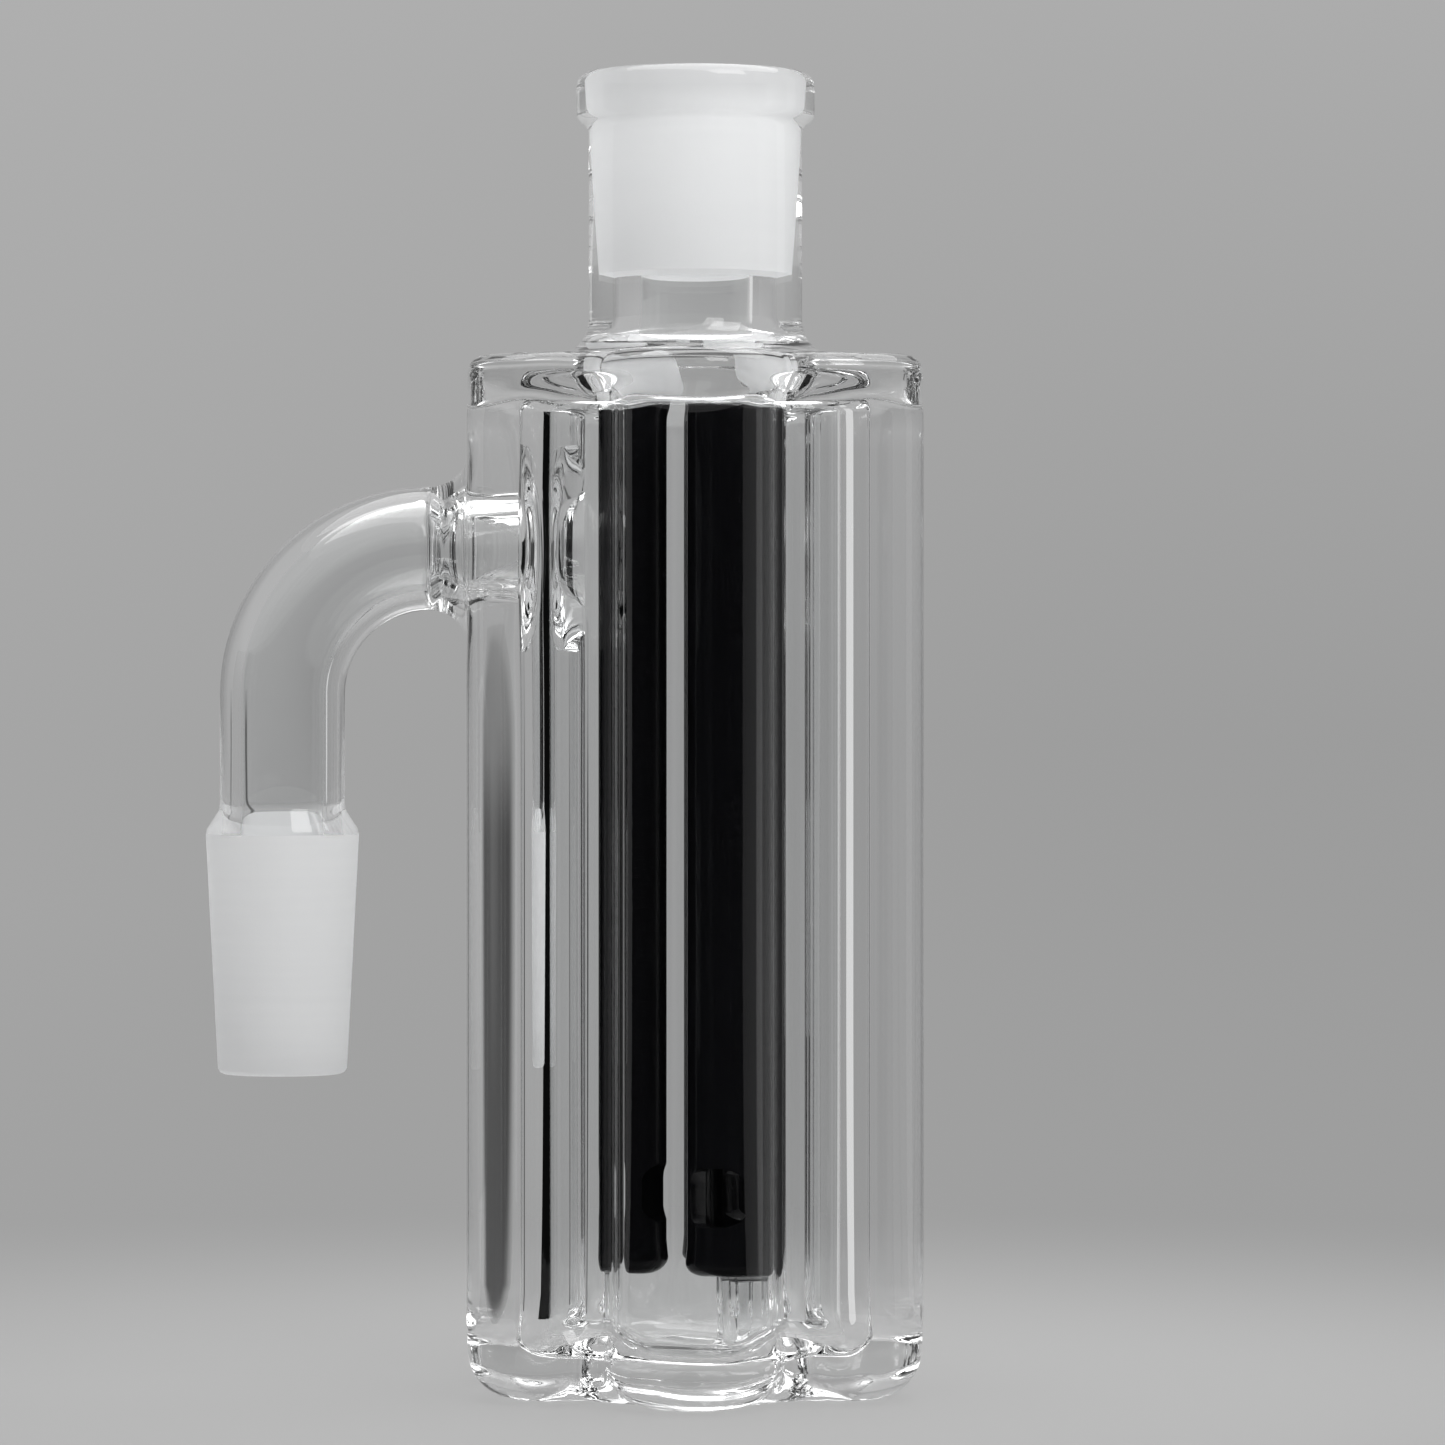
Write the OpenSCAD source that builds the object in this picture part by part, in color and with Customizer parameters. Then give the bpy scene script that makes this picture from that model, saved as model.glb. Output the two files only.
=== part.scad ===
// Fluted glass percolating trap: a ground socket on a six-lobed body, three black slotted tubes that hang
// inside it from the roof, and a bent side arm that ends in a ground cone.
// The origin is the middle of the base, +Z is up, the front is -Y and the side arm points to -X.

/* [Ground socket] */
// Inner diameter of the socket at its mouth
socket_mouth_d = 14.5; // [13:0.1:16]
// Length of the ground taper, from the mouth down
socket_ground_len = 19.2; // [16:0.1:24]
// Outer diameter of the socket and neck tube
socket_tube_d = 20.5; // [19.5:0.1:22]
// Outer diameter of the thick collar round the mouth
collar_d = 22.9; // [22:0.1:26]
// Height of the collar
collar_h = 5; // [4:0.1:7]
// Rounding of the collar's edges
collar_round = 1.3; // [0.5:0.1:1.6]
// Length over which a ground joint narrows by 1 mm in diameter
taper_run = 10; // [8:0.5:14]

/* [Neck] */
// Length of the clear neck tube
neck_len = 4.4; // [3:0.1:10]
// Bore of the clear neck tube
neck_bore_d = 10.5; // [8:0.1:12]
// Radius of the hollow curve of the weld between neck and roof
neck_weld_r = 3.4; // [2:0.1:4.5]

/* [Body] */
// Height of the body from base to roof
body_h = 99; // [85:0.5:120]
// Distance from the body's axis to the middle of each lobe
lobe_pitch_r = 16.4; // [15.5:0.1:17]
// Outer radius of each lobe
lobe_r = 7.5; // [7:0.1:8]
// Rounding of the outer valleys between lobes
valley_r = 2; // [1.5:0.1:3]
// Glass thickness at the crest of each lobe
crest_wall = 6.6; // [5.5:0.1:7.5]
// Radius of the hollow inside each lobe
hollow_lobe_r = 5.2; // [4.5:0.1:6]
// Rounding of the hollow's ribs between lobes
hollow_rib_r = 9.8; // [7:0.1:12]
// Thickness of the roof
roof_t = 4.4; // [3:0.1:7]
// Thickness of the floor
floor_t = 4.6; // [3:0.1:5.5]
// Height of the dished base, floor and rounded edge together
base_h = 6.2; // [6:0.1:10]
// Rounding of the base's outer edge
base_round = 4.8; // [2:0.1:5.5]
// Rounding of the roof's outer edge
roof_round = 1.8; // [0.5:0.1:2.5]

/* [Percolator arms] */
// Outer diameter of each arm
arm_d = 7.5; // [6.5:0.1:8.5]
// Wall of each arm
arm_wall = 1.3; // [1:0.1:2]
// Distance from the body's axis to the axis of each arm
arm_pitch_r = 5.9; // [5.2:0.1:6.6]
// Turn of the front arm from the front of the body
arm_turn = 32; // [0:1:60]
// Thickness of each arm's closed lower end
arm_end_t = 1.8; // [1.3:0.1:3]
// Rounding of each arm's lower end
arm_end_round = 1.1; // [0.4:0.1:1.2]
// Width of each slot
slot_w = 4.4; // [2.5:0.1:5]
// Height of each slot
slot_h = 5.6; // [3:0.1:8]
// Rounding of each slot's corners
slot_round = 1.1; // [0.4:0.1:1.2]
// Height of the slots above the arm's lower end
slot_lift = 4.8; // [3.2:0.1:8]

/* [Posts] */
// Diameter of the clear post under each arm
post_d = 2.7; // [2:0.1:4]
// Height of the posts
post_h = 7; // [4:0.1:12]

/* [Side arm] */
// Outer diameter of the side arm's tube
outlet_d = 12; // [10.5:0.1:13]
// Bore of the side arm's tube
outlet_bore_d = 8; // [6:0.1:8.8]
// Depth of the side arm's axis below the top of the body
outlet_depth = 18.2; // [15:0.1:30]
// Length of the side arm's level start, out from the side of the body
outlet_stub_len = 4; // [3.5:0.1:12]
// Bend radius of the side arm's axis
bend_r = 14; // [9:0.1:20]
// Radius of the hollow curve of the weld round the side arm's start
outlet_weld_r = 4; // [2:0.1:4.2]
// Length of the straight tube between bend and cone
drop_len = 10.9; // [5:0.1:20]

/* [Ground cone] */
// Diameter of the ground cone at its large end
cone_d = 14.7; // [14:0.1:16]
// Length of the ground cone
cone_len = 23; // [16:0.1:26]
// Height of the shoulder between tube and cone
shoulder_h = 2.5; // [1.5:0.1:4]

/* [Hidden] */
$fn = 96;
lobe_count = 6;
arm_count = 3;
slot_count = 2;
// Turn of the first slot from the front, on the front, back and left arm
slot_turns = [-33, 45, 75];
lobe_step = 360 / lobe_count;
arm_step = 360 / arm_count;
slot_step = 360 / slot_count;
// Overlap that lets a cut pass right through a face
cut = 1;
// Depth to which a valley or a flat side runs into the lobes beside it, so that the two meet at a clear edge
side_bite = 0.05;
// Depth that grinding takes off the rounded face of the base and of the roof
face_skim = 0.15;
// Height of the plain rim at the wide end of a weld
weld_rim = 0.4;

crest_r = lobe_pitch_r + lobe_r;
body_half_w = lobe_pitch_r * cos(lobe_step / 2) + lobe_r;
hollow_pitch_r = crest_r - crest_wall - hollow_lobe_r;
ceiling_z = body_h - roof_t;
flare_h = neck_weld_r + weld_rim;
flare_top_z = body_h + flare_h;
neck_top_z = flare_top_z + neck_len;
mouth_z = neck_top_z + socket_ground_len;
collar_z = mouth_z - collar_h;
arm_bore_d = arm_d - 2 * arm_wall;
arm_foot_z = floor_t + post_h;
arm_len = ceiling_z - arm_foot_z;
// Width of the chamber over the roof, which takes in all three arms
chamber_d = 2 * arm_pitch_r + arm_d;
outlet_z = body_h - outlet_depth;
bend_x = -(body_half_w + outlet_stub_len);
bend_z = outlet_z - bend_r;
cone_x = bend_x - bend_r;
drop_z = bend_z - drop_len;
cone_top_z = drop_z - shoulder_h;
cone_tip_z = cone_top_z - cone_len;

clear_glass = "lightcyan";
ground_glass = "white";
black_glass = "#141416";

// Distance from the axis to the middle of the circle that rounds a valley between two lobes
function valley_pitch(pitch_r, r, round_r) =
    pitch_r * cos(lobe_step / 2) + sqrt(pow(r + round_r, 2) - pow(pitch_r * sin(lobe_step / 2), 2))
    - side_bite;

// Star whose points lie in turn at the middles of the lobes and of the valleys
function star(lobe_reach, valley_reach) =
    [for (k = [0 : 2 * lobe_count - 1])
        let (a = k * lobe_step / 2, d = k % 2 == 0 ? lobe_reach : valley_reach) [d * sin(a), -d * cos(a)]];

// Diameter of the ground socket's taper at a height
function socket_bore(z) = socket_mouth_d - (mouth_z - z) / taper_run;

// Plan of a ring of lobes with rounded valleys
module fluted_plan(pitch_r, r, round_r) {
    valley = valley_pitch(pitch_r, r, round_r);
    difference() {
        union() {
            polygon(star(pitch_r, valley));
            for (k = [0 : lobe_count - 1]) rotate(k * lobe_step) translate([0, -pitch_r]) circle(r);
        }
        for (k = [0 : lobe_count - 1]) rotate((k + 0.5) * lobe_step) translate([0, -valley]) circle(round_r);
    }
}

module body_plan() {
    fluted_plan(lobe_pitch_r, lobe_r, valley_r);
}

module hollow_plan() {
    fluted_plan(hollow_pitch_r, hollow_lobe_r, hollow_rib_r);
}

// A square corner of size r less its quarter circle, in the corner at the origin
module corner(r) {
    difference() {
        translate([-cut, -cut]) square(r + cut);
        translate([r, r]) circle(r);
    }
}

// Half outline of an upright round bar with a rounded lower edge
module bar_outline(r, h, low_round) {
    difference() {
        square([r, h]);
        translate([r, 0]) mirror([1, 0]) corner(low_round);
    }
}

// Half outline of a weld round a bar: a hollow curve that spreads to a short rim at the bottom
module weld_outline(r, weld_r) {
    difference() {
        square([r + weld_r, weld_r + weld_rim]);
        translate([r + weld_r, weld_r + weld_rim]) circle(weld_r);
    }
}

// Six-sided plate with a lobe at each corner and its lower edge rounded
module plate_block(h, low_round) {
    side_y = lobe_pitch_r * cos(lobe_step / 2) - cut;
    side_r = lobe_r + cut - side_bite;
    linear_extrude(h) polygon([for (k = [0 : lobe_count - 1])
        [lobe_pitch_r * sin(k * lobe_step), -lobe_pitch_r * cos(k * lobe_step)]]);
    for (k = [0 : lobe_count - 1]) {
        rotate(k * lobe_step) translate([0, -lobe_pitch_r, 0])
            rotate_extrude() bar_outline(lobe_r, h, low_round);
        rotate((k + 0.5) * lobe_step) translate([lobe_pitch_r / 2, -side_y, 0])
            rotate([90, 0, -90]) linear_extrude(lobe_pitch_r) bar_outline(side_r, h, low_round);
    }
}

// Plate at one end of the body, rounded below and ground flat on both faces
module end_plate(h, low_round) {
    side = 2 * (crest_r + cut);
    intersection() {
        translate([0, 0, -face_skim]) plate_block(face_skim + h + cut, low_round);
        translate([-side / 2, -side / 2, 0]) cube([side, side, h]);
    }
}

// Places its children at an arm's axis
module at_arm(k) {
    a = arm_turn + k * arm_step;
    translate([arm_pitch_r * sin(a), -arm_pitch_r * cos(a), 0]) children();
}

// Turns a shape made along +Z so that it runs out along -X from the body's axis at the side arm's height
module along_outlet() {
    translate([0, 0, outlet_z]) rotate([0, -90, 0]) children();
}

module outlet_bore() {
    along_outlet() cylinder(h = cut - bend_x, d = outlet_bore_d);
}

module socket_collar() {
    color(ground_glass) translate([0, 0, collar_z]) difference() {
        rotate_extrude() difference() {
            bar_outline(collar_d / 2, collar_h, collar_round);
            translate([collar_d / 2, collar_h]) rotate(180) corner(collar_round);
        }
        cylinder(h = collar_h, d1 = socket_bore(collar_z), d2 = socket_bore(mouth_z));
    }
}

module ground_socket() {
    socket_h = collar_z - neck_top_z;
    color(ground_glass) translate([0, 0, neck_top_z]) difference() {
        cylinder(h = socket_h, d = socket_tube_d);
        cylinder(h = socket_h, d1 = socket_bore(neck_top_z), d2 = socket_bore(collar_z));
    }
}

module neck_tube() {
    color(clear_glass) translate([0, 0, flare_top_z]) difference() {
        cylinder(h = neck_len, d = socket_tube_d);
        translate([0, 0, -cut]) cylinder(h = neck_len + 2 * cut, d = neck_bore_d);
    }
}

module neck_flare() {
    color(clear_glass) translate([0, 0, body_h]) difference() {
        rotate_extrude() weld_outline(socket_tube_d / 2, neck_weld_r);
        cylinder(h = flare_h, d1 = chamber_d, d2 = neck_bore_d);
    }
}

module roof() {
    color(clear_glass) difference() {
        translate([0, 0, body_h]) mirror([0, 0, 1]) end_plate(roof_t, roof_round);
        for (k = [0 : arm_count - 1])
            at_arm(k) translate([0, 0, ceiling_z - cut]) cylinder(h = roof_t + 2 * cut, d = arm_bore_d);
    }
}

module body_shell() {
    color(clear_glass) difference() {
        translate([0, 0, base_h]) linear_extrude(ceiling_z - base_h) difference() {
            body_plan();
            hollow_plan();
        }
        outlet_bore();
    }
}

module floor() {
    color(clear_glass) difference() {
        end_plate(base_h, base_round);
        translate([0, 0, floor_t]) linear_extrude(base_h) hollow_plan();
    }
}

// Rounded slot that passes out through one side of an arm, towards -Y
module slot() {
    x_round = slot_w / 2 - slot_round;
    y_round = slot_h / 2 - slot_round;
    rotate([90, 0, 0]) linear_extrude(arm_d) {
        square([slot_w, 2 * y_round], center = true);
        square([2 * x_round, slot_h], center = true);
        for (x = [-x_round, x_round], y = [-y_round, y_round]) translate([x, y]) circle(slot_round);
    }
}

module arm(k) {
    color(black_glass) at_arm(k) translate([0, 0, arm_foot_z]) difference() {
        rotate_extrude() bar_outline(arm_d / 2, arm_len, arm_end_round);
        translate([0, 0, arm_end_t]) cylinder(h = arm_len, d = arm_bore_d);
        for (s = [0 : slot_count - 1])
            rotate(slot_turns[k] + s * slot_step) translate([0, 0, slot_lift + slot_h / 2]) slot();
    }
}

module arm_front() { arm(0); }

module arm_back() { arm(1); }

module arm_left() { arm(2); }

module post(k) {
    color(clear_glass) at_arm(k) translate([0, 0, floor_t]) cylinder(h = post_h, d = post_d);
}

module post_front() { post(0); }

module post_back() { post(1); }

module post_left() { post(2); }

module outlet_collar() {
    flare_start = -bend_x - outlet_weld_r - weld_rim;
    color(clear_glass) difference() {
        along_outlet() union() {
            cylinder(h = flare_start, d = outlet_d + 2 * outlet_weld_r);
            translate([0, 0, flare_start]) rotate_extrude() weld_outline(outlet_d / 2, outlet_weld_r);
        }
        linear_extrude(body_h) body_plan();
        outlet_bore();
    }
}

module outlet_bend() {
    color(clear_glass) translate([bend_x, 0, bend_z]) rotate([90, 0, 0]) rotate([0, 0, 90])
        rotate_extrude(angle = 90) translate([bend_r, 0]) difference() {
            circle(d = outlet_d);
            circle(d = outlet_bore_d);
        }
}

module outlet_drop() {
    color(clear_glass) translate([cone_x, 0, drop_z]) difference() {
        cylinder(h = drop_len, d = outlet_d);
        translate([0, 0, -cut]) cylinder(h = drop_len + 2 * cut, d = outlet_bore_d);
    }
}

module cone_shoulder() {
    color(clear_glass) translate([cone_x, 0, cone_top_z]) difference() {
        cylinder(h = shoulder_h, d1 = cone_d, d2 = outlet_d);
        translate([0, 0, -cut]) cylinder(h = shoulder_h + 2 * cut, d = outlet_bore_d);
    }
}

module ground_cone() {
    color(ground_glass) translate([cone_x, 0, cone_tip_z]) difference() {
        cylinder(h = cone_len, d1 = cone_d - cone_len / taper_run, d2 = cone_d);
        translate([0, 0, -cut]) cylinder(h = cone_len + 2 * cut, d = outlet_bore_d);
    }
}

socket_collar();
ground_socket();
neck_tube();
neck_flare();
roof();
body_shell();
floor();
arm_front();
arm_back();
arm_left();
post_front();
post_back();
post_left();
outlet_collar();
outlet_bend();
outlet_drop();
cone_shoulder();
ground_cone();
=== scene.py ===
import math

import bmesh
import bpy
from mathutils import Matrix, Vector, noise


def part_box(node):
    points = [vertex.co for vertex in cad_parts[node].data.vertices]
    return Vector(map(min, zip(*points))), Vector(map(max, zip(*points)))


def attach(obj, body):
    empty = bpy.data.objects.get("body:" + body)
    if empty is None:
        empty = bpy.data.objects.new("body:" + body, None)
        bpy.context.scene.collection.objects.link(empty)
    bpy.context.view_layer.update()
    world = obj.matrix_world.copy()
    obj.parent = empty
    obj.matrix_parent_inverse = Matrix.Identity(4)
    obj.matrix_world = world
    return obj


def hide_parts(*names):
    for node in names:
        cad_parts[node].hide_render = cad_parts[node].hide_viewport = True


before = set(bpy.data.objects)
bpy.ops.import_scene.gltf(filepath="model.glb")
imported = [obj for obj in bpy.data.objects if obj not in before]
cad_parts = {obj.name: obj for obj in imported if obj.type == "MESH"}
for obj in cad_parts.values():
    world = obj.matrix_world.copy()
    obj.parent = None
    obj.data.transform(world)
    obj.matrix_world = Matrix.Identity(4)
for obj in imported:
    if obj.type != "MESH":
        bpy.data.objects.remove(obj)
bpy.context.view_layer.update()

# Sizes are in metres, taken from the frame where a node shows them
MM = 0.001
LOBES = 6
LOBE_STEP = 2 * math.pi / LOBES
LOBE_POINTS = 36
VALLEY_POINTS = 14
EDGE_STEPS = 8
BODY_ROWS = 24
SEAM_ROWS = 28
ROUND_POINTS = 160
ROUND_TURNS = [2 * math.pi * k / ROUND_POINTS for k in range(ROUND_POINTS)]
BEND_STEPS = 24
CLEAR, GROUND, FROST = 0, 1, 2
SHARP_EDGE = math.radians(38)

shell_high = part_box("body_shell")[1]
roof_low, roof_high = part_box("roof")
flare_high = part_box("neck_flare")[1]
neck_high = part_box("neck_tube")[1]
collar_low, collar_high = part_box("socket_collar")
post_low, post_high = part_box("post_front")
bend_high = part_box("outlet_bend")[1]
drop_low, drop_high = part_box("outlet_drop")
cone_low, cone_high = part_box("ground_cone")
weld_low, weld_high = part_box("outlet_collar")

# Body: its box gives the reach of the lobes to the front and to the side
lobe_pitch_r = (shell_high[1] - shell_high[0]) / (1 - math.cos(LOBE_STEP / 2))
lobe_r = shell_high[1] - lobe_pitch_r
valley_r = 2 * MM
crest_wall = 6.6 * MM
hollow_lobe_r = 5.2 * MM
hollow_rib_r = 9.8 * MM
hollow_pitch_r = shell_high[1] - crest_wall - hollow_lobe_r
floor_z = post_low[2]
ceiling_z = roof_low[2]
roof_z = roof_high[2]
plate_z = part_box("floor")[1][2]
base_round = 4.8 * MM
roof_round = 1.8 * MM
floor_round = 2 * MM
ceiling_round = 1.2 * MM
# Weld seam between the wall and the roof plate
SEAM_Z = 93.9 * MM
SEAM_RISE = 2.3 * MM
SEAM_DEPTH = 0.12 * MM
SEAM_WIDTH = 0.9 * MM
# How far the plates at both ends fill the valleys
BASE_FILL = 0.5
ROOF_FILL = 0.6
# How far over the base plate and under the seam the plain flutes begin
plate_blend = 3 * MM
seam_reach = 2 * MM

# Neck and top socket
neck_r = neck_high[0]
neck_bore_r = 5.25 * MM
flare_z = flare_high[2]
flare_r = flare_high[0]
socket_z = neck_high[2]
mouth_z = collar_high[2]
mouth_r = 7.25 * MM
collar_z = collar_low[2]
collar_r = collar_high[0]
collar_round = 1.3 * MM
mouth_round = 0.5 * MM
# Where the ground taper starts, and where it gives way to the lightly frosted rim
ground_z = socket_z - 0.6 * MM
frost_z = collar_z - 0.2 * MM
TAPER = 1 / 20

# Black arms, with the turn of each one's first slot in degrees, and the clear posts under them
ARMS = {"arm_front": -33, "arm_back": 45, "arm_left": 75}
POSTS = ("post_front", "post_back", "post_left")
SLOTS = 2
ARM_ROWS = 12
WEAR_WAVES = 400
arm_low, arm_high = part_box("arm_front")
arm_r = (arm_high[0] - arm_low[0]) / 2
arm_bore_r = arm_r - 1.3 * MM
arm_end_t = 1.8 * MM
arm_end_round = 1.3 * MM
arm_bond = 0.15 * MM
arm_foot_flare = 0.12 * MM
arm_foot_h = 3 * MM
arm_wear = 0.35 * MM
arm_edge = 0.22 * MM
slot_w = 4.4 * MM
slot_h = 5.6 * MM
slot_round = 1.5 * MM
slot_z = arm_low[2] + 4.8 * MM + slot_h / 2
post_r = (post_high[0] - post_low[0]) / 2
post_weld = 1.3 * MM

# Side arm and ground cone
tube_r = (drop_high[0] - drop_low[0]) / 2
tube_bore_r = 4 * MM
# How far in from the bend each place in the weld's bore lies, and its radius there, in mm
BORE_WELD = (
    (14, 6.4), (11.5, 5.6), (9, 4.9), (6.5, 4.3), (4.5, 3.7), (3, 3.2), (2.2, 3.1), (1.4, 3.3), (0.6, 3.8))
tube_z = bend_high[2] - tube_r
bend_x = bend_high[0]
cone_x = (cone_low[0] + cone_high[0]) / 2
bend_r = bend_x - cone_x
bend_len = bend_r * math.pi / 2
weld_r = (weld_high[2] - weld_low[2]) / 2
cone_r = (cone_high[0] - cone_low[0]) / 2
cone_tip_r = cone_r - (cone_high[2] - cone_low[2]) * TAPER

# Flame-worked glass: where the side arm's weld and the base are uneven, how deep, and the waves per metre
WELD_AT = Vector((-19 * MM, 0, tube_z))
WELD_REACH = 9 * MM
WELD_SAG = 0.4 * MM
BASE_WORKED = (4 * MM, 9 * MM)
BASE_SAG = 0.3 * MM
ROOF_SAG = 0.15 * MM
SAG_WAVES = 190

# Camera at the photograph's place: level with the body, 0.58 m in front of its axis
CAMERA_AT = Vector((2.6, -580, 67.2)) * MM
LOOK_AT = Vector((2.6, 0, 64.1)) * MM
FRAME_WIDTH = 138.9 * MM
SENSOR = 36


def make_camera():
    data = bpy.data.cameras.new("camera")
    data.sensor_width = SENSOR
    data.lens = SENSOR * (LOOK_AT - CAMERA_AT).length / FRAME_WIDTH
    data.clip_start = 0.01
    data.clip_end = 20
    camera = bpy.data.objects.new("camera", data)
    camera.location = CAMERA_AT
    camera.rotation_euler = (LOOK_AT - CAMERA_AT).to_track_quat("-Z", "Y").to_euler()
    bpy.context.collection.objects.link(camera)
    bpy.context.scene.camera = camera


class Socket:
    """A shader socket whose arithmetic adds Math nodes."""

    def __init__(self, tree, out):
        self.tree = tree
        self.out = out

    def math(self, operation, a, b):
        return add_node(self.tree, "ShaderNodeMath", {"operation": operation}, in0=a, in1=b)

    def __add__(self, other):
        return self.math("ADD", self, other)

    def __radd__(self, other):
        return self.math("ADD", other, self)

    def __sub__(self, other):
        return self.math("SUBTRACT", self, other)

    def __rsub__(self, other):
        return self.math("SUBTRACT", other, self)

    def __mul__(self, other):
        return self.math("MULTIPLY", self, other)

    def __rmul__(self, other):
        return self.math("MULTIPLY", other, self)

    def __truediv__(self, other):
        return self.math("DIVIDE", self, other)

    def __rtruediv__(self, other):
        return self.math("DIVIDE", other, self)

    def __abs__(self):
        return self.math("ABSOLUTE", self, 0)


def add_node(tree, kind, settings=None, out=0, **inputs):
    """Adds a node and gives its output, by name or place. Inputs go by socket name, with _ for a space, or by
    place as in0, in1 and so on."""
    node = tree.nodes.new(kind)
    for name, value in (settings or {}).items():
        setattr(node, name, value)
    for name, value in inputs.items():
        place = int(name[2:]) if name[2:].isdigit() else name.replace("_", " ")
        if isinstance(value, Socket):
            tree.links.new(value.out, node.inputs[place])
        else:
            node.inputs[place].default_value = value
    return Socket(tree, node.outputs[out])


def new_material(name):
    material = bpy.data.materials.new(name)
    material.use_nodes = True
    material.node_tree.nodes.clear()
    return material, material.node_tree


def show(tree, shader):
    end = tree.nodes.new("ShaderNodeOutputMaterial")
    tree.links.new(shader.out, end.inputs["Surface"])


def own_place(tree):
    """Where a point of the surface lies in the object's own space."""
    return add_node(tree, "ShaderNodeTexCoord", out="Object")


def along_axis(tree, axis):
    return add_node(tree, "ShaderNodeSeparateXYZ", out=axis, Vector=own_place(tree))


def soft_step(tree, value, low, high):
    """0 at low, 1 at high and a soft S between them."""
    settings = {"interpolation_type": "SMOOTHSTEP"}
    return add_node(tree, "ShaderNodeMapRange", settings, Value=value, From_Min=low, From_Max=high)


def spots(tree, scale, detail=2.0):
    """Noise in the object's own space, with one scale for each axis."""
    scaled = add_node(tree, "ShaderNodeMapping", Vector=own_place(tree), Scale=scale)
    return add_node(tree, "ShaderNodeTexNoise", Vector=scaled, Scale=1.0, Detail=detail)


def blend(tree, share, low, high):
    return add_node(tree, "ShaderNodeMix", {"data_type": "RGBA"}, out=2, in0=share, in6=low, in7=high)


def lamp_through(tree, glass, share):
    """Lets that share of lamp light pass glass, so that what is inside it is lit."""
    lamps = add_node(tree, "ShaderNodeLightPath", out="Is Shadow Ray") * share
    clear = add_node(tree, "ShaderNodeBsdfTransparent")
    return add_node(tree, "ShaderNodeMixShader", in0=lamps, in1=glass, in2=clear)


def clear_glass():
    """Fire-polished borosilicate, almost without colour."""
    material, tree = new_material("clear_glass")
    tone = blend(tree, spots(tree, (40, 40, 20)), (0.975, 0.982, 0.984, 1), (0.99, 0.993, 0.994, 1))
    glass = add_node(
        tree, "ShaderNodeBsdfPrincipled", Base_Color=tone, Roughness=0.0, IOR=1.47, Transmission_Weight=1.0)
    show(tree, lamp_through(tree, glass, 0.92))
    return material


def ground_finish(tree):
    """Fine ground glass: white and dull, light passes into it, with faint rings left by the grinding."""
    rings = spots(tree, (60, 60, 1400))
    grain = spots(tree, (5200, 5200, 5200), 3.0)
    bump = add_node(tree, "ShaderNodeBump", Strength=0.15, Distance=0.0001, Height=grain + rings * 0.6)
    tone = blend(tree, rings, (0.88, 0.885, 0.89, 1), (0.94, 0.942, 0.945, 1))
    dull = add_node(
        tree, "ShaderNodeBsdfPrincipled", Base_Color=tone, Roughness=0.9, Specular_IOR_Level=0.0, Normal=bump)
    inside = add_node(tree, "ShaderNodeBsdfTranslucent", Color=(0.93, 0.935, 0.94, 1))
    return add_node(tree, "ShaderNodeMixShader", in0=0.45, in1=dull, in2=inside)


def ground_glass():
    material, tree = new_material("ground_glass")
    show(tree, lamp_through(tree, ground_finish(tree), 0.5))
    return material


def frosted_glass():
    """Lightly frosted rim: a little milky, still see-through."""
    material, tree = new_material("frosted_glass")
    haze = spots(tree, (300, 300, 300)) * 0.1 + 0.65
    clear = add_node(tree, "ShaderNodeBsdfTransparent")
    frost = add_node(tree, "ShaderNodeMixShader", in0=haze, in1=ground_finish(tree), in2=clear)
    show(tree, lamp_through(tree, frost, 0.7))
    return material


def black_glass():
    """Opaque black glass with a wet gloss, slightly wavy along the tube."""
    material, tree = new_material("black_glass")
    waves = spots(tree, (420, 420, 26))
    specks = spots(tree, (900, 900, 900), 4.0)
    bump = add_node(tree, "ShaderNodeBump", Strength=0.12, Distance=0.0004, Height=waves)
    tone = blend(tree, waves, (0.003, 0.003, 0.0035, 1), (0.006, 0.006, 0.007, 1))
    gloss = add_node(
        tree, "ShaderNodeBsdfPrincipled", Base_Color=tone, Roughness=specks * 0.08 + 0.05, IOR=1.5,
        Specular_IOR_Level=0.05, Normal=bump)
    show(tree, gloss)
    return material


def new_object(name, rings):
    """A closed mesh that runs from ring to ring, with flat ends."""
    bm = bmesh.new()
    rows = [[bm.verts.new(point) for point in ring] for ring in rings]
    count = len(rows[0])
    for low, high in zip(rows, rows[1:]):
        for k in range(count):
            n = (k + 1) % count
            bm.faces.new((low[k], low[n], high[n], high[k]))
    bm.faces.new(rows[0])
    bm.faces.new(rows[-1])
    bmesh.ops.recalc_face_normals(bm, faces=bm.faces)
    mesh = bpy.data.meshes.new(name)
    bm.to_mesh(mesh)
    bm.free()
    thing = bpy.data.objects.new(name, mesh)
    bpy.context.collection.objects.link(thing)
    return thing


def join(base, tools, operation):
    """Adds or cuts the tools, one by one, and removes them."""
    for tool in tools:
        step = base.modifiers.new(operation, "BOOLEAN")
        step.operation = operation
        step.solver = "EXACT"
        step.object = tool
        graph = bpy.context.evaluated_depsgraph_get()
        mesh = bpy.data.meshes.new_from_object(base.evaluated_get(graph))
        base.modifiers.clear()
        base.data = mesh
        bpy.data.objects.remove(tool)


def smooth(thing):
    thing.data.shade_smooth()
    thing.data.set_sharp_from_angle(angle=SHARP_EDGE)


def heading(turn, reach, z=0.0):
    """A point at a distance from the axis, with turn measured from the front towards +X."""
    return Vector((reach * math.sin(turn), -reach * math.cos(turn), z))


def circle(r, z, x=0.0, y=0.0):
    return [Vector((x, y, 0)) + heading(a, r, z) for a in ROUND_TURNS]


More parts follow.
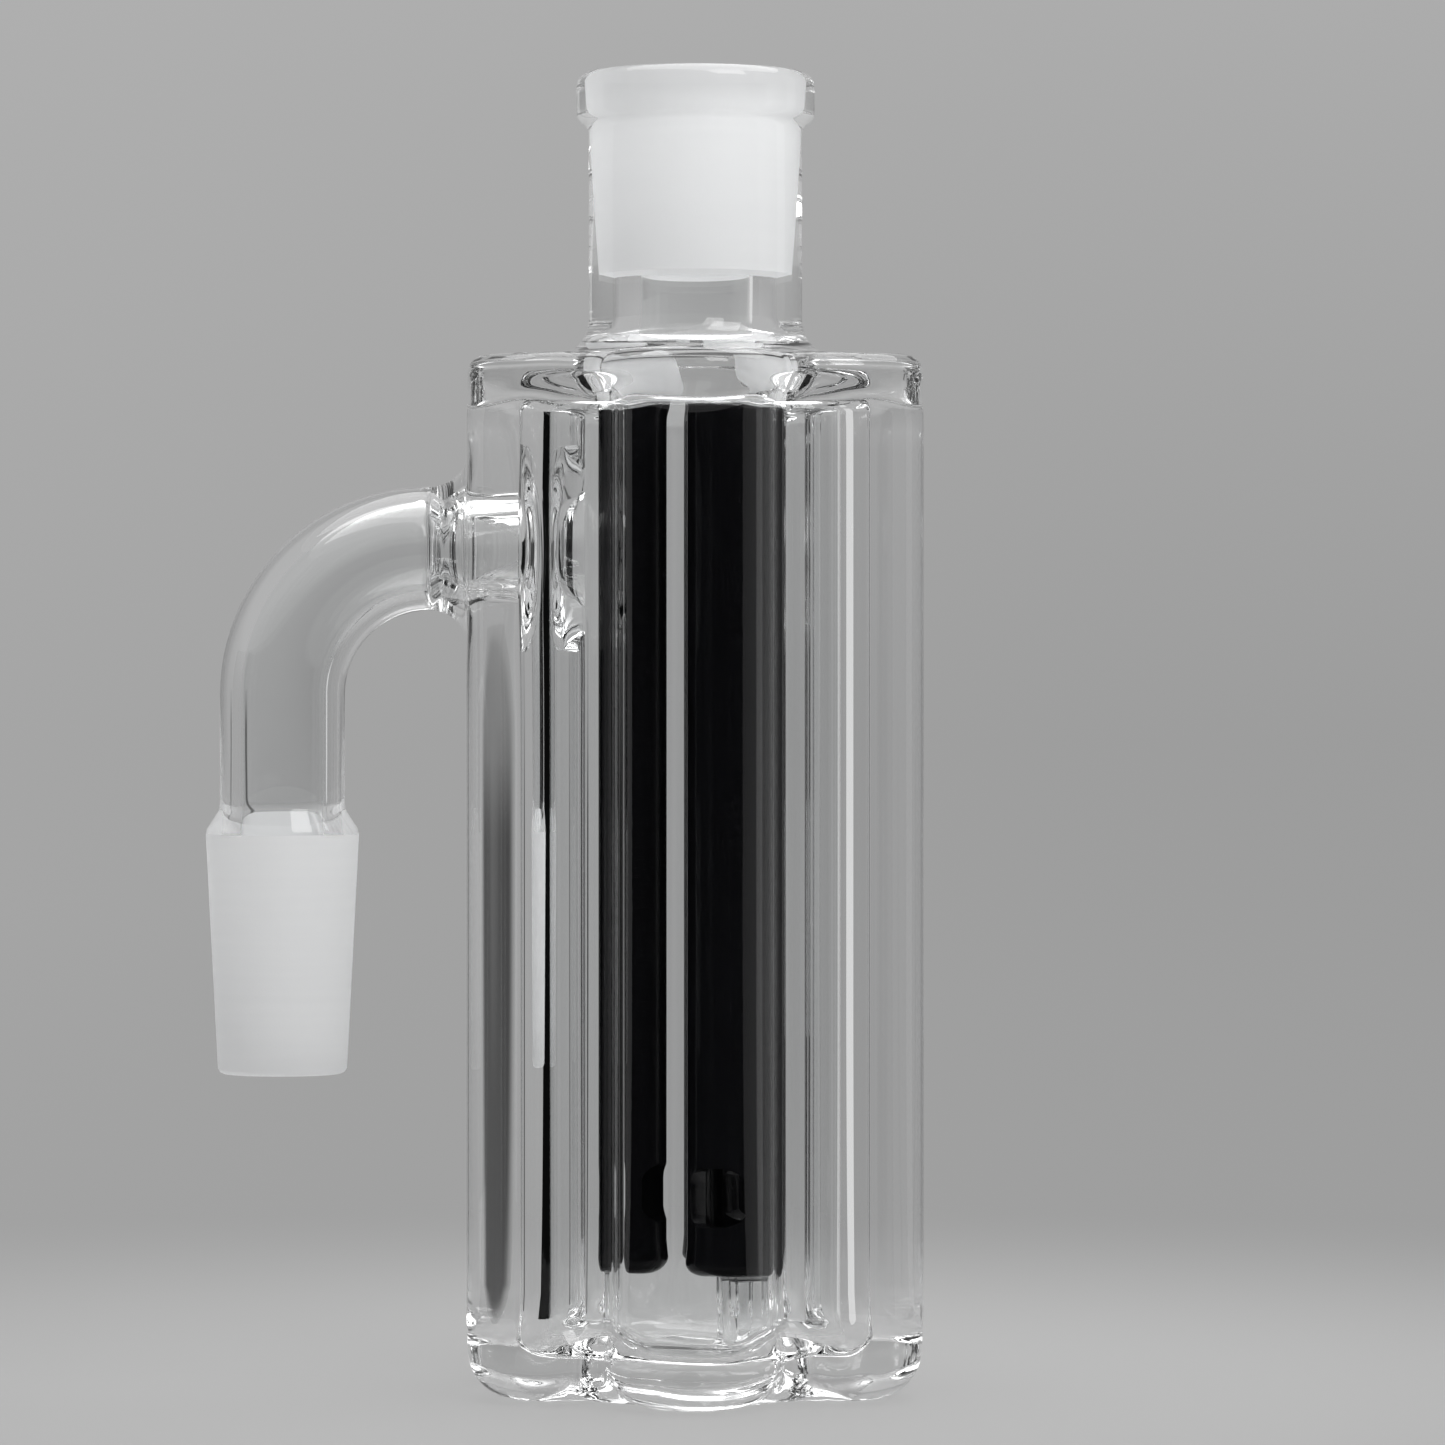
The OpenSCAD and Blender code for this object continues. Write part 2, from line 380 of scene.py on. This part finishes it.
def revolve(name, profile, x=0.0, y=0.0):
    return new_object(name, [circle(r, z, x, y) for r, z in profile])


def arc(middle_r, middle_z, r, start, end, count=EDGE_STEPS):
    """Points of an arc of a profile, with its angles in degrees."""
    turns = [math.radians(start + (end - start) * k / count) for k in range(count + 1)]
    return [(middle_r + r * math.cos(a), middle_z + r * math.sin(a)) for a in turns]


def flute_ring(pitch_r, r, round_r, z, inset=0.0, fill=0.0, groove=None):
    """A ring of lobes with rounded valleys, moved in by inset all round. Fill closes the valleys, up to the
    flat side that touches two lobes, and groove gives a further inset by turn and height."""
    across = pitch_r * math.sin(LOBE_STEP / 2)
    along = math.sqrt((r + round_r) ** 2 - across ** 2)
    valley_pitch = pitch_r * math.cos(LOBE_STEP / 2) + along
    valley_half = math.atan2(across, along)
    lobe_half = LOBE_STEP / 2 + valley_half
    points = []
    for k in range(LOBES):
        lobe = k * LOBE_STEP
        valley = lobe + LOBE_STEP / 2
        for j in range(LOBE_POINTS):
            turn = lobe + (2 * j / LOBE_POINTS - 1) * lobe_half
            points.append((heading(lobe, pitch_r, z), heading(turn, 1), r - inset))
        for j in range(VALLEY_POINTS):
            turn = valley + math.pi + (1 - 2 * j / VALLEY_POINTS) * valley_half
            points.append((heading(valley, valley_pitch, z), heading(turn, 1), round_r + inset))
    return [filled(start + out * reach, pitch_r, r - inset, fill, groove) for start, out, reach in points]


def filled(point, pitch_r, r, fill, groove):
    """Moves a point of a ring out towards the flat side next to it, and in by the groove."""
    turn = math.atan2(point.x, -point.y)
    valley = (math.floor(turn / LOBE_STEP) + 0.5) * LOBE_STEP
    out = heading(valley, 1)
    side = Vector((-out.y, out.x, 0))
    short = pitch_r * math.cos(LOBE_STEP / 2) + r - point.dot(out)
    if abs(point.dot(side)) < pitch_r * math.sin(LOBE_STEP / 2):
        point = point + out * short * fill
    if groove:
        point = point - heading(turn, groove(turn, point.z))
    return point


def edge_steps(r):
    """How far a rounded edge lies in and up at each step, from the flat face to the wall."""
    turns = [math.pi / 2 * k / EDGE_STEPS for k in range(EDGE_STEPS + 1)]
    return [(r * (1 - math.sin(a)), r * (1 - math.cos(a))) for a in turns]


def steps(low, high, count):
    return [low + (high - low) * k / count for k in range(count)]


def ease(value, low, high):
    """0 below low, 1 above high and a soft S between them."""
    share = min(1, max(0, (value - low) / (high - low)))
    return share * share * (3 - 2 * share)


def seam(turn, z):
    """Depth of the weld seam under the roof plate, which rises at each valley."""
    rise = SEAM_RISE * (1 - math.cos(LOBES * turn)) / 2
    return SEAM_DEPTH * math.exp(-((z - SEAM_Z - rise) / SEAM_WIDTH) ** 2)


def body_outside():
    """Fluted wall that runs into a filled plate at the base and at the roof."""
    sizes = (lobe_pitch_r, lobe_r, valley_r)
    rings = [flute_ring(*sizes, z, inset, BASE_FILL) for inset, z in edge_steps(base_round)]
    for z in steps(base_round, plate_z, 4)[1:] + steps(plate_z, plate_z + plate_blend, 8):
        rings.append(flute_ring(*sizes, z, 0, BASE_FILL * (1 - ease(z, plate_z - MM, plate_z + 2 * MM))))
    rings += [flute_ring(*sizes, z) for z in steps(plate_z + plate_blend, SEAM_Z - seam_reach, 2 * BODY_ROWS)]
    for z in steps(SEAM_Z - seam_reach, roof_z - roof_round, SEAM_ROWS):
        fill = ROOF_FILL * ease(z, SEAM_Z + SEAM_RISE - 2 * MM, SEAM_Z + SEAM_RISE + 0.8 * MM)
        rings.append(flute_ring(*sizes, z, 0, fill, seam))
    for inset, rise in reversed(edge_steps(roof_round)):
        rings.append(flute_ring(*sizes, roof_z - rise, inset, ROOF_FILL))
    return new_object("fused_glass", rings)


def hollow_inside():
    """Fluted hollow of the body, rounded at the floor and at the ceiling."""
    sizes = (hollow_pitch_r, hollow_lobe_r, hollow_rib_r)
    rings = [flute_ring(*sizes, floor_z + rise, inset) for inset, rise in edge_steps(floor_round)]
    wall_rows = steps(floor_z + floor_round, ceiling_z - ceiling_round, BODY_ROWS)
    rings += [flute_ring(*sizes, z) for z in wall_rows[1:]]
    for inset, rise in reversed(edge_steps(ceiling_round)):
        rings.append(flute_ring(*sizes, ceiling_z - rise, inset))
    return new_object("hollow", rings)


def middle(node):
    """Where a node's upright axis lies."""
    low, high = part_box(node)
    return (low[0] + high[0]) / 2, (low[1] + high[1]) / 2


def neck_outside():
    """Weld flare, neck, socket and collar as one turned shape that starts inside the roof."""
    sunk_z = roof_z - MM
    weld = flare_r - neck_r
    under_z = collar_z - 0.6 * MM
    profile = [(flare_r, sunk_z)]
    profile += arc(flare_r, flare_z, weld, 270, 180)
    profile += [(neck_r, socket_z), (neck_r, under_z)]
    profile += [(neck_r + 0.25 * MM, collar_z - 0.1 * MM)]
    profile += arc(collar_r - collar_round, collar_z + collar_round, collar_round, 300, 360)
    profile += arc(collar_r - collar_round, mouth_z - collar_round, collar_round, 0, 90)
    return revolve("neck_outside", profile)


def neck_inside():
    """Shallow chamber over the roof, plain bore and ground taper."""
    chamber_r = math.hypot(*middle("arm_front")) + arm_bore_r + 0.6 * MM
    taper_r = mouth_r - (mouth_z - socket_z) * TAPER
    lip_z = mouth_z - mouth_round
    profile = [(chamber_r, roof_z), (chamber_r, roof_z + 0.35 * MM), (neck_bore_r + MM, roof_z + 0.9 * MM)]
    profile += [(neck_bore_r + 0.35 * MM, roof_z + 1.8 * MM), (neck_bore_r, flare_z)]
    profile += [(neck_bore_r, socket_z - 0.5 * MM), (taper_r, socket_z)]
    profile += [(mouth_r - mouth_round * TAPER, lip_z)]
    profile += arc(mouth_r + mouth_round, lip_z, mouth_round, 180, 90)
    profile += [(mouth_r + mouth_round, mouth_z + MM)]
    return revolve("neck_inside", profile)


def post(node):
    """Clear rod under an arm, spread by the weld at both ends."""
    low_z = post_low[2]
    high_z = post_high[2]
    spread_r = post_r + post_weld
    profile = [(spread_r, low_z - MM)]
    profile += arc(spread_r, low_z + post_weld, post_weld, 270, 180)
    profile += [(post_r, (low_z + high_z) / 2)]
    profile += arc(spread_r, high_z - post_weld / 2, post_weld, 180, 150, 3)
    profile += [(post_r, high_z)]
    return revolve(node, profile, *middle(node))


def side_arm(name, stations):
    """A tube along the side arm: each station gives how far along the axis it lies, and a radius."""
    rings = []
    for along, r in stations:
        if along < 0:
            place, lean = Vector((bend_x - along, 0, tube_z)), 0
        elif along < bend_len:
            lean = along / bend_r
            place = Vector((bend_x - bend_r * math.sin(lean), 0, tube_z - bend_r * (1 - math.cos(lean))))
        else:
            place, lean = Vector((cone_x, 0, tube_z - bend_r - (along - bend_len))), math.pi / 2
        up = Vector((-math.sin(lean), 0, math.cos(lean)))
        rings.append([place + up * r * math.cos(a) + Vector((0, r * math.sin(a), 0)) for a in ROUND_TURNS])
    return new_object(name, rings)


def side_arm_outside():
    """Weld at the body, bend, drop, shoulder and ground cone as one tube."""
    to_drop = bend_len + drop_high[2] - drop_low[2]
    to_cone = to_drop + drop_low[2] - cone_high[2]
    to_tip = to_cone + cone_high[2] - cone_low[2]
    weld = weld_r - tube_r
    tip_round = 0.5 * MM
    stations = [(-10 * MM, weld_r)]
    stations += [(-z, r) for r, z in arc(weld_r, 0, weld, 90, 180)]
    stations += [(bend_len * k / BEND_STEPS, tube_r) for k in range(1, BEND_STEPS + 1)]
    stations += [(to_drop - 0.4 * MM, tube_r), (to_drop + 0.3 * MM, tube_r + 0.15 * MM)]
    stations += [(to_cone - 0.5 * MM, cone_r - 0.1 * MM), (to_cone, cone_r)]
    stations += [(to_cone + (to_tip - tip_round - to_cone) * k / 6, cone_r + (cone_tip_r - cone_r) * k / 6)
                 for k in range(1, 7)]
    stations += [(to_tip - 0.15 * MM, cone_tip_r - 0.2 * MM), (to_tip, cone_tip_r - tip_round)]
    return side_arm("side_arm_outside", stations)


def side_arm_inside():
    """Bore of the side arm, which the weld narrows and which opens out into the body."""
    to_tip = bend_len + drop_high[2] - cone_low[2]
    stations = [(-along * MM, r * MM) for along, r in BORE_WELD]
    stations += [(bend_len * k / BEND_STEPS, tube_bore_r) for k in range(BEND_STEPS + 1)]
    stations += [(to_tip + MM, tube_bore_r)]
    return side_arm("side_arm_inside", stations)


def face_finish(place, arm_axes):
    """Which finish a face of the clear glass has, by where it lies."""
    from_axis = math.hypot(place.x, place.y)
    from_cone = math.hypot(place.x - cone_x, place.y)
    from_arm = min(math.hypot(place.x - x, place.y - y) for x, y in arm_axes)
    inside_socket = from_axis < neck_r - 2 * MM
    if inside_socket and place.z >= frost_z:
        return FROST
    if inside_socket and place.z > ground_z:
        return GROUND
    if from_arm < arm_bore_r + 0.1 * MM and ceiling_z < place.z < roof_z:
        return GROUND
    if from_cone < cone_r + MM and place.z < cone_high[2] and from_cone > tube_bore_r + 0.5 * MM:
        return GROUND
    return CLEAR


def make_glass():
    """All the clear glass, fused into one piece, with its ground and frosted faces."""
    glass = body_outside()
    join(glass, [neck_outside(), side_arm_outside()], "UNION")
    holes = []
    for node in ARMS:
        hole = [(arm_bore_r, ceiling_z - MM), (arm_bore_r, roof_z + 0.2 * MM)]
        holes.append(revolve("hole", hole, *middle(node)))
    join(glass, [hollow_inside(), neck_inside(), side_arm_inside()] + holes, "DIFFERENCE")
    join(glass, [post(node) for node in POSTS], "UNION")
    for material in (clear_glass(), ground_glass(), frosted_glass()):
        glass.data.materials.append(material)
    arm_axes = [middle(node) for node in ARMS]
    for face in glass.data.polygons:
        face.material_index = face_finish(face.center, arm_axes)
    soften(glass)
    smooth(glass)
    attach(glass, "root")
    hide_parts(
        "socket_collar", "ground_socket", "neck_tube", "neck_flare", "roof", "body_shell", "floor",
        "outlet_collar", "outlet_bend", "outlet_drop", "cone_shoulder", "ground_cone", *POSTS)


def soften(thing):
    """Leaves the glass uneven where it was worked in the flame: at the side arm's weld, the base and the
    roof."""
    worked = []
    for vertex in thing.data.vertices:
        place = vertex.co
        weld = WELD_SAG * math.exp(-((place - WELD_AT).length / WELD_REACH) ** 2)
        base = BASE_SAG * (1 - ease(place.z, *BASE_WORKED))
        roof = ROOF_SAG * ease(place.z, ceiling_z - MM, ceiling_z + MM) * (1 - ease(place.z, roof_z, flare_z))
        wave = (noise.noise(place * SAG_WAVES) + 1) / 2
        worked.extend(place - vertex.normal * max(weld, base, roof) * wave)
    thing.data.vertices.foreach_set("co", worked)
    thing.data.update()


def slot_cutter(x, y, turn):
    """Rounded slot that passes out through one side of an arm."""
    outline = []
    half_w = slot_w / 2 - slot_round
    half_h = slot_h / 2 - slot_round
    for side, rise, start in ((1, 1, 0), (-1, 1, 90), (-1, -1, 180), (1, -1, 270)):
        outline += arc(side * half_w, rise * half_h, slot_round, start, start + 90)
    out = heading(turn, 1)
    side = Vector((-out.y, out.x, 0))
    start = Vector((x, y, slot_z))
    rings = []
    for reach in (0, 2 * arm_r):
        rings.append([start + out * reach + side * u + Vector((0, 0, v)) for u, v in outline])
    return new_object("slot", rings)


def make_arm(node, first_slot, finish):
    """Black tube with a closed, flame-worn lower end and slots round it."""
    x, y = middle(node)
    foot_z = arm_low[2]
    round_r = arm_r + arm_foot_flare - arm_end_round
    profile = arc(round_r, foot_z + arm_end_round, arm_end_round, 270, 360)
    profile += [(arm_r, foot_z + arm_foot_h)]
    arm_len = ceiling_z + arm_bond - foot_z
    profile += [(arm_r, foot_z + arm_len * k / ARM_ROWS) for k in range(1, ARM_ROWS + 1)]
    arm = revolve(node + "_glass", profile, x, y)
    bore = revolve("bore", [(arm_bore_r, foot_z + arm_end_t), (arm_bore_r, ceiling_z + MM)], x, y)
    cutters = []
    for k in range(SLOTS):
        cutters.append(slot_cutter(x, y, math.radians(first_slot) + k * 2 * math.pi / SLOTS))
    join(arm, [bore] + cutters, "DIFFERENCE")
    for vertex in arm.data.vertices:
        worn = max(0, 1 - (vertex.co.z - foot_z) / arm_foot_h)
        vertex.co.z += worn * arm_wear * noise.noise(vertex.co * WEAR_WAVES)
    arm.data.materials.append(finish)
    smooth(arm)
    edge = arm.modifiers.new("worn_edges", "BEVEL")
    edge.width = arm_edge
    edge.segments = 2
    edge.limit_method = "ANGLE"
    edge.angle_limit = SHARP_EDGE
    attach(arm, "root")
    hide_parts(node)


# Stage: a pale round sweep with painted light and shade on it, softboxes above and at the front right, and
# cards that only the glass shows
SWEEP_R = 2.2
SWEEP_H = 2.4
FLOOR_R = 1.2
# Sweep tones with light and shade painted in: paler near the foot, shaded on the right of the wall, lighter
# towards the top
NEAR_GREY = (0.45, 0.45, 0.45, 1)
LEFT_GREY = (0.385, 0.385, 0.385, 1)
RIGHT_GREY = (0.335, 0.335, 0.335, 1)
TOP_GREY = (0.45, 0.45, 0.45, 1)
# Where the painted pool of light on the floor round the foot fades, where painted shade darkens the wall to
# the right, and where painted light lightens it upwards
PAINTED_LIGHT_POOL = (0.03, 0.21)
LEFT_TO_RIGHT = (-0.4, 0.25)
WALL_FOOT = 0.05
WALL_TOP = 0.5
# The least share of the sweep's tone that doesn't come from the lamps
GLOW = 0.75
CARD_STEPS = 24
CARD_LIFT = 0.3 * MM


def make_sweep():
    """Floor and wall in one, with a painted pool of light round the foot and painted shade to the right."""
    bend = SWEEP_R - FLOOR_R
    profile = [(0.02, 0)] + [(FLOOR_R * k / 12, 0) for k in range(1, 13)]
    profile += arc(FLOOR_R, bend, bend, 270, 360, 16)[1:]
    profile += [(SWEEP_R, SWEEP_H)]
    sweep = revolve("studio_sweep", profile)
    bm = bmesh.new()
    bm.from_mesh(sweep.data)
    lid = max(bm.faces, key=lambda face: face.calc_center_median().z)
    bmesh.ops.delete(bm, geom=[lid], context="FACES")
    bm.to_mesh(sweep.data)
    bm.free()
    material, tree = new_material("studio_grey")
    # Painted light and shade: a pale pool round the foot, shade to the right and more light upwards
    reach = add_node(tree, "ShaderNodeVectorMath", {"operation": "LENGTH"}, out="Value", in0=own_place(tree))
    far = soft_step(tree, reach, *PAINTED_LIGHT_POOL)
    right = soft_step(tree, along_axis(tree, "X"), *LEFT_TO_RIGHT)
    up = along_axis(tree, "Z")
    high = add_node(tree, "ShaderNodeMapRange", Value=up, From_Min=WALL_FOOT, From_Max=WALL_TOP)
    wall = blend(tree, high, blend(tree, right, LEFT_GREY, RIGHT_GREY), TOP_GREY)
    tone = blend(tree, far, NEAR_GREY, wall)
    lit = add_node(tree, "ShaderNodeBsdfPrincipled", Base_Color=tone, Roughness=1.0, Specular_IOR_Level=0.0)
    glow = add_node(tree, "ShaderNodeEmission", Color=tone, Strength=1.0)
    show(tree, add_node(tree, "ShaderNodeMixShader", in0=far * (1 - GLOW) + GLOW, in1=lit, in2=glow))
    sweep.data.materials.append(material)
    sweep.data.shade_smooth()


def softbox(name, place, target, width, height, radiance):
    """An area lamp of an even brightness, where 1 is white."""
    data = bpy.data.lights.new(name, "AREA")
    data.shape = "RECTANGLE"
    data.size = width
    data.size_y = height
    data.energy = radiance * math.pi * width * height
    lamp = bpy.data.objects.new(name, data)
    lamp.location = place
    lamp.rotation_euler = (Vector(target) - Vector(place)).to_track_quat("-Z", "Y").to_euler()
    lamp.visible_camera = False
    bpy.context.collection.objects.link(lamp)


def studio_card(name, turn, spread, near, distance, high_z, grey, soft=0.0, start_x=0.0):
    """A card seen only in the glass: it runs out along the floor and then stands up. Turn goes from the
    back to the right, in degrees, and soft is the share of the card over which its edges fade."""
    outline = [(near, CARD_LIFT), (distance, CARD_LIFT), (distance, high_z)]
    bm = bmesh.new()
    rows = []
    for k in range(CARD_STEPS + 1):
        a = math.radians(spread * (k / CARD_STEPS - 0.5))
        rows.append([bm.verts.new((r * math.sin(a), r * math.cos(a), z)) for r, z in outline])
    for row, after in zip(rows, rows[1:]):
        for k in range(len(outline) - 1):
            bm.faces.new((row[k], row[k + 1], after[k + 1], after[k]))
    mesh = bpy.data.meshes.new(name)
    bm.to_mesh(mesh)
    bm.free()
    card = bpy.data.objects.new(name, mesh)
    card.rotation_euler = (0, 0, -math.radians(turn))
    card.location = (start_x, 0, 0)
    bpy.context.collection.objects.link(card)
    card.visible_camera = False
    card.visible_shadow = False
    card.visible_diffuse = False
    material, tree = new_material(name)
    tone = (grey, grey, grey, 1)
    if soft:
        lean = abs(along_axis(tree, "X") / along_axis(tree, "Y"))
        edge = math.tan(math.radians(spread / 2))
        side = soft_step(tree, lean, edge, edge * (1 - soft))
        top = soft_step(tree, along_axis(tree, "Z"), high_z, high_z * (1 - soft))
        tone = blend(tree, side * top, RIGHT_GREY, tone)
    show(tree, add_node(tree, "ShaderNodeEmission", Color=tone, Strength=1.0))
    card.data.materials.append(material)


def make_lights():
    body_middle = (0, 0, 0.07)
    body_side = 19 * MM
    softbox("top_softbox", (0.1, 0.1, 1.0), body_middle, width=1.3, height=1.3, radiance=1.9)
    softbox("front_softbox", (0.45, -0.6, 0.75), body_middle, width=0.5, height=0.5, radiance=4.9)
    studio_card("front_card", turn=194, spread=172, near=0.09, distance=0.9, high_z=0.26, grey=0.003)
    studio_card(
        "right_card", turn=74, spread=14, near=0.06, distance=0.65, high_z=0.5, grey=0.72, start_x=body_side)
    studio_card(
        "back_left_card", turn=-30, spread=6, near=0.06, distance=1.0, high_z=0.08, grey=0.07, soft=0.7,
        start_x=-body_side)
    world = bpy.data.worlds.new("studio")
    world.use_nodes = True
    world.node_tree.nodes["Background"].inputs["Color"].default_value = (0.8, 0.8, 0.8, 1)
    world.node_tree.nodes["Background"].inputs["Strength"].default_value = 1.0
    bpy.context.scene.world = world


def set_render_paths():
    cycles = bpy.context.scene.cycles
    cycles.max_bounces = 32
    cycles.transmission_bounces = 28
    cycles.glossy_bounces = 12
    cycles.transparent_max_bounces = 24
    cycles.use_denoising = True
    bpy.context.scene.view_settings.view_transform = "Standard"


make_camera()
make_glass()
black = black_glass()
for arm_node, first_turn in ARMS.items():
    make_arm(arm_node, first_turn, black)
make_sweep()
make_lights()
set_render_paths()
